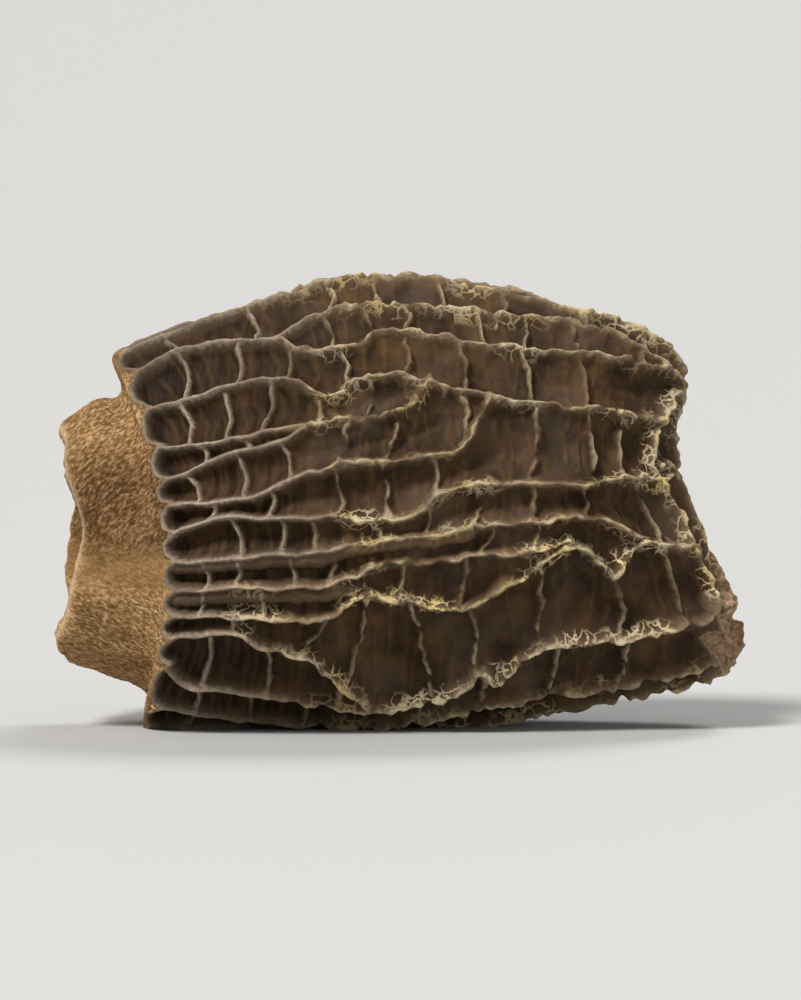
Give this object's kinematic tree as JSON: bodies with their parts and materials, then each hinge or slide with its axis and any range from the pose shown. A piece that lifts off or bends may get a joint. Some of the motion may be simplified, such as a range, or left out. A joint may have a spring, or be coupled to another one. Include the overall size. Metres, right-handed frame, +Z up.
{
  "type": "dried morel mushroom",
  "caption": "Hollow dried morel cap with a net of ridges round deep pits and a short cut stem stub, lying on its side.",
  "frame": {"origin": "middle of the underside, on the surface that the morel lies on", "axes": "+X from the cut stem to the tip, +Y away from the side that shows best, +Z up"},
  "size_m": [0.0354, 0.0204, 0.0233],
  "materials": {
    "dried_flesh": "dry, leathery brown pits with paler, crumbly ridges; ochre, mealy stem stub"
  },
  "bodies": {
    "root": {"morel": "dried_flesh"}
  },
  "joints": []
}
